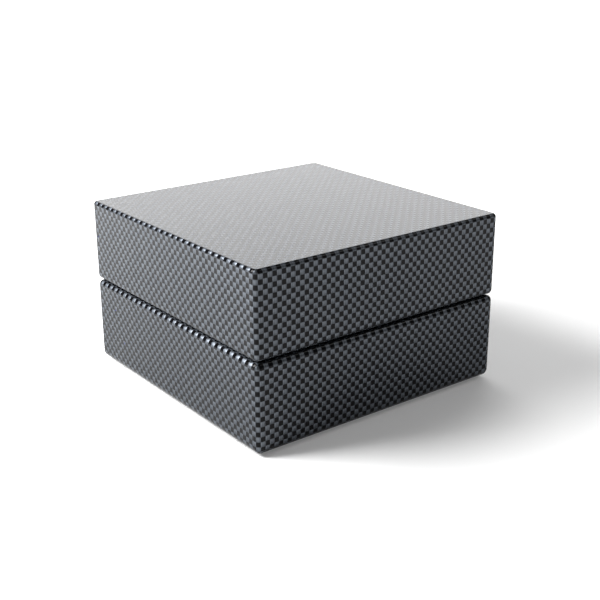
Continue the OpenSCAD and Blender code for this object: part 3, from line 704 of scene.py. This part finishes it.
def quilted_pad(finish, thread):
    """The lid's padded ceiling, quilted in diamonds."""
    n = PAD_CELLS
    step = 2 * PAD_HALF / n
    verts = []
    pinned = []
    for j in range(n + 1):
        for i in range(n + 1):
            rim = min(i, j, n - i, n - j)
            x = -PAD_HALF + step * i
            y = -PAD_HALF + step * j
            z = PAD_SEAM if on_seam(i, j) else PAD_FACE
            if rim == 0:
                z = PAD_CEILING
            elif rim == 1:
                z = (PAD_CEILING + PAD_SEAM) / 2
            if rim < 2 or on_seam(i, j):
                pinned.append(len(verts))
            verts.append((x, y, z))
    faces = []
    for j in range(n):
        for i in range(n):
            a = j * (n + 1) + i
            corners = [a, a + n + 1, a + n + 2, a + 1]
            if (i + j + 1) % PAD_QUILT == 0:
                corners = corners[1:] + corners[:1]
            faces.append((corners[0], corners[1], corners[2]))
            faces.append((corners[0], corners[2], corners[3]))
    pad = new_piece("lid_cushion", verts, faces, finish, "lid")
    inflate(pad, pinned, PAD_PRESSURE, PAD_CAP, PAD_STIFFNESS)
    for vert in pad.data.vertices:
        vert.co.z = max(PAD_LOWEST, vert.co.z)
    work = bmesh.new()
    work.from_mesh(pad.data)
    rim = [e for e in work.edges if e.is_boundary]
    bmesh.ops.holes_fill(work, edges=rim, sides=0)
    work.to_mesh(pad.data)
    work.free()
    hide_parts("lid_pad")
    sewing = bmesh.new()
    low = PAD_SEAM - 0.0001
    for start in range(-n, 2 * n + 1, PAD_QUILT):
        for way in (1, -1):
            line = []
            for i in range(2, n - 1):
                j = (i - start) if way == 1 else (start - i)
                if 2 <= j <= n - 2:
                    line.append(Vector((-PAD_HALF + step * i, -PAD_HALF + step * j, low)))
            if len(line) > 3:
                add_stitches(sewing, line, *PAD_STITCH, sides=4)
    finish_soft_detail("lid_stitches", sewing, thread, "lid")


# ---- Marks on the control plate ----


def add_mark(work, x, s, wide, long, turn=0.0, sides=4):
    """A thin inlaid mark: a bar, or a dot when it has many sides."""
    height = PLATE_TOP + 0.00006
    ring = []
    for i in range(sides):
        a = 2 * math.pi * (i + 0.5) / sides
        scale = 1 / math.cos(math.pi / sides)
        across = 0.5 * wide * scale * math.cos(a)
        along = 0.5 * long * scale * math.sin(a)
        dx = across * math.cos(turn) + along * math.sin(turn)
        ds = along * math.cos(turn) - across * math.sin(turn)
        ring.append((x + dx, s + ds))
    top = [work.verts.new(tilted(a, b, height)) for a, b in ring]
    low = [work.verts.new(tilted(a, b, PLATE_TOP - 0.0001)) for a, b in ring]
    work.faces.new(top)
    work.faces.new(list(reversed(low)))
    for i in range(sides):
        n = (i + 1) % sides
        work.faces.new((low[i], low[n], top[n], top[i]))


def control_marks(material):
    """Plain ticks round the knob, dots for the slider's places and a ring of dots round the button."""
    work = bmesh.new()
    for k in range(5):
        turn = math.radians(-60 + 30 * k)
        add_mark(work, KNOB_X + TICK_REACH * math.sin(turn), STRIP_S + TICK_REACH * math.cos(turn),
                 *TICK_SIZE, turn)
    for k in (-1, 0, 1):
        size = 0.0007 if k else 0.0011
        add_mark(work, SLIDER_X + SLIDER_TRAVEL * k, STRIP_S + MARK_RISE, size, size, 0.0, 16)
    for k in range(BUTTON_DOTS):
        turn = 2 * math.pi * k / BUTTON_DOTS
        add_mark(work, BUTTON_X + BUTTON_RING * math.sin(turn), STRIP_S + BUTTON_RING * math.cos(turn),
                 0.00045, 0.00045, 0.0, 12)
    add_mark(work, LED_X, STRIP_S + MARK_RISE, 0.0018, 0.0003)
    mesh = bpy.data.meshes.new("control_marks")
    work.to_mesh(mesh)
    work.free()
    mesh.materials.append(material)
    piece = bpy.data.objects.new("control_marks", mesh)
    bpy.context.scene.collection.objects.link(piece)
    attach(piece, "case")


# ---- Stage, lights and camera ----


def add_floor():
    """A pale floor that glows, as painted light, where it lies away from the box, so that it stays white
    over the box's cast shadow.
    """
    mesh = bpy.data.meshes.new("floor")
    work = bmesh.new()
    bmesh.ops.create_grid(work, x_segments=2, y_segments=2, size=FLOOR_HALF)
    work.to_mesh(mesh)
    work.free()
    floor = bpy.data.objects.new("floor", mesh)
    bpy.context.scene.collection.objects.link(floor)
    m = Material("pale_floor", base_color=(0.86, 0.86, 0.86), roughness=0.9,
                 emission_color=(1.0, 1.0, 1.0))
    away = m.add("ShaderNodeVectorMath", m.object_coords(), out=1, operation="LENGTH")
    m.set("Emission Strength", m.range(away, *FLOOR_FADE, *FLOOR_GLOW))
    mesh.materials.append(m.data)


def area_light(name, place, aim, width, height, power):
    """A rectangular white light at a place, turned to face a point."""
    light = bpy.data.lights.new(name, "AREA")
    light.shape = "RECTANGLE"
    light.size = width
    light.size_y = height
    light.energy = power
    lamp = bpy.data.objects.new(name, light)
    lamp.location = place
    lamp.rotation_euler = (Vector(aim) - Vector(place)).to_track_quat("-Z", "Y").to_euler()
    bpy.context.scene.collection.objects.link(lamp)


def add_backdrop():
    """A glowing sheet behind the box, brighter towards its top, that only reflections show."""
    mesh = bpy.data.meshes.new("backdrop")
    low, high = BACKDROP_LOW, BACKDROP_HIGH
    wide = BACKDROP_WIDTH / 2
    corners = [(-wide, 0, low), (wide, 0, low), (wide, 0, high), (-wide, 0, high)]
    mesh.from_pydata(corners, [], [(0, 1, 2, 3)])
    backdrop = bpy.data.objects.new("backdrop", mesh)
    bpy.context.scene.collection.objects.link(backdrop)
    backdrop.location = BACKDROP_PLACE
    backdrop.rotation_euler = (0, 0, BACKDROP_TURN)
    backdrop.visible_camera = False
    m = Material("backdrop", base_color=(0.0, 0.0, 0.0), roughness=1.0, specular_ior_level=0.0,
                 emission_color=(1.0, 1.0, 1.0))
    x, _, z = m.split(m.object_coords())
    glow = m.range(z, low, high, *BACKDROP_GLOW, smooth=False)
    tilt = m.range(x, -wide, wide, *BACKDROP_SIDES, smooth=False)
    ends = m.range(m.math("ABSOLUTE", x), 0.35 * wide, wide, 1.0, 0.0)
    head = m.range(z, high - BACKDROP_FADE, high, 1.0, 0.0)
    shape = m.math("MULTIPLY", ends, head)
    m.set("Emission Strength", m.math("MULTIPLY", m.math("MULTIPLY", glow, tilt), shape))
    mesh.materials.append(m.data)


def add_lights():
    """A white sky, brighter at the horizon, three soft lights and the backdrop."""
    world = bpy.data.worlds.new("studio")
    world.use_nodes = True
    background = world.node_tree.nodes["Background"]
    background.inputs["Color"].default_value = (1.0, 1.0, 1.0, 1.0)
    tree = world.node_tree
    direction = tree.nodes.new("ShaderNodeTexCoord").outputs["Generated"]
    parts = tree.nodes.new("ShaderNodeSeparateXYZ")
    tree.links.new(direction, parts.inputs[0])
    fade = tree.nodes.new("ShaderNodeMapRange")
    fade.interpolation_type = "SMOOTHSTEP"
    for socket, value in zip(fade.inputs[1:5], (*SKY_FADE, *SKY_GLOW)):
        socket.default_value = value
    tree.links.new(parts.outputs["Z"], fade.inputs[0])
    tree.links.new(fade.outputs[0], background.inputs["Strength"])
    bpy.context.scene.world = world
    area_light("key_left", place=(-0.66, 0.42, 0.64), aim=(-0.3, 0.2, 0), width=0.6, height=0.6, power=27)
    add_backdrop()
    area_light("edge_right", place=(0.95, -0.5, 1.2), aim=(0.05, 0, 0.1), width=0.5, height=0.5, power=2)
    area_light("overhead", place=(0, 0.3, 2.4), aim=(0, 0, 0), width=2.0, height=2.0, power=4)


def add_camera():
    """The camera at the view's angles, aimed a little to the side of the box's foot and above it."""
    camera = bpy.data.cameras.new("photo_view")
    camera.lens = LENS
    camera.sensor_width = 36.0
    camera.clip_start = 0.01
    view = bpy.data.objects.new("photo_view", camera)
    bpy.context.scene.collection.objects.link(view)
    sin_a, cos_a = math.sin(VIEW_AZIMUTH), math.cos(VIEW_AZIMUTH)
    sin_e, cos_e = math.sin(VIEW_ELEVATION), math.cos(VIEW_ELEVATION)
    back = Vector((sin_a * cos_e, -cos_a * cos_e, sin_e))
    right = Vector((cos_a, sin_a, 0))
    up = back.cross(right)
    target = Vector((0, 0, BASE_LOW.z)) + right * AIM_RIGHT + up * AIM_UP
    x_axis = right * math.cos(VIEW_ROLL) + up * math.sin(VIEW_ROLL)
    y_axis = back.cross(x_axis)
    turn = Matrix((x_axis, y_axis, back)).transposed().to_4x4()
    view.matrix_world = Matrix.Translation(target + back * VIEW_DISTANCE) @ turn
    bpy.context.scene.camera = view


# ---- Build ----

add_floor()
add_lights()
add_camera()

wrap = check_wrap()
smooth_piece("base_shell", "base_case", "case", wrap)
smooth_piece("lid_shell", "lid_case", "lid", wrap)

made = finishes()
made["check_wrap"] = wrap
BEVELS = {"base_lining": 0.0004, "lid_lining": 0.0004, "deck_panel": 0.0005, "deck_bezel": 0.0003,
          "cup_rim": 0.0003, "control_plate": 0.00025, "mode_knob": 0.0005, "power_button": 0.0004,
          "direction_slider": 0.0003, "rotor_cup": 0.0003, "feet": 0.0004, "status_led": 0.0003,
          "base_hinge_left": 0.00015, "base_hinge_right": 0.00015, "lid_hinge_left": 0.00015,
          "lid_hinge_right": 0.00015, "floor_panel": 0.0003, "jack_nut": 0.00015, "dc_jack": 0.0003,
          "deck_front_rail": 0.0003, "pillow_core": 0.0006}
made["knob"] = turned_metal("knob_metal", KNOB_X, KNOB_RADIUS, 44)
made["button"] = turned_metal("button_metal", BUTTON_X, 0.0054, 0)
OWN_FINISH = {"mode_knob": "knob", "power_button": "button"}
for node in NODES:
    crisp(node, made[OWN_FINISH.get(node, SLOT_OF[node])], BEVELS.get(node, 0.0))
thread = speckled("thread", (0.42, 0.42, 0.43), (0.28, 0.28, 0.29), (0.7, 0.85), (600.0, 4000.0), 0.00003)
watch_pillow(made["cushion"], thread)
quilted_pad(made["cushion"], thread)
control_marks(made["pointer_white"])

bpy.context.scene.view_settings.view_transform = "Standard"
